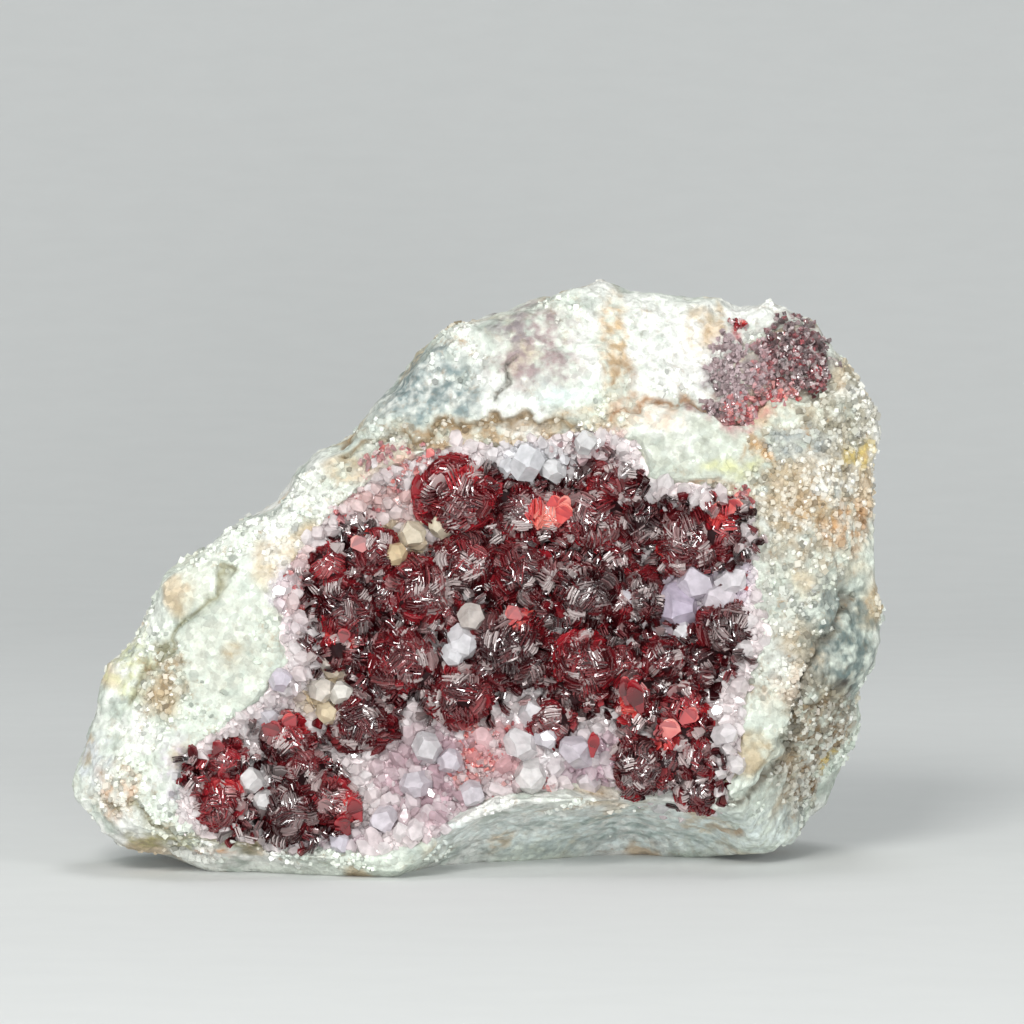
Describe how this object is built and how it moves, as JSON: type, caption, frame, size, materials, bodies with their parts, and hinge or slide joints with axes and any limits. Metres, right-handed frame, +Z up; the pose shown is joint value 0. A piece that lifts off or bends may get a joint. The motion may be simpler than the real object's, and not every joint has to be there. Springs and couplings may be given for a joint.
{
  "type": "wendwilsonite in matrix",
  "caption": "Mineral specimen: dark red bladed rosettes on pale lilac quartz crystals, in the hollow of a pale, rough host rock with a flat foot.",
  "frame": {"origin": "under the middle of the specimen, on the plane that it stands on", "axes": "+X to the right along the specimen's length as seen from the front, -Y out of the crystal-lined front face towards the viewer, +Z up"},
  "size_m": [0.0679, 0.0312, 0.0491],
  "materials": {
    "host_rock": "broken carbonate rock, pale green-white with grey, ochre and brown stains, matt and granular",
    "quartz": "clear to milky lilac quartz, vitreous crystal faces",
    "wendwilsonite": "deep red, translucent at the edges, vitreous blade edges"
  },
  "bodies": {
    "root": {"matrix": "host_rock", "quartz_crust": "quartz", "wendwilsonite_main_cluster": "wendwilsonite", "wendwilsonite_lower_left_cluster": "wendwilsonite", "wendwilsonite_upper_right_patch": "wendwilsonite"}
  },
  "joints": []
}
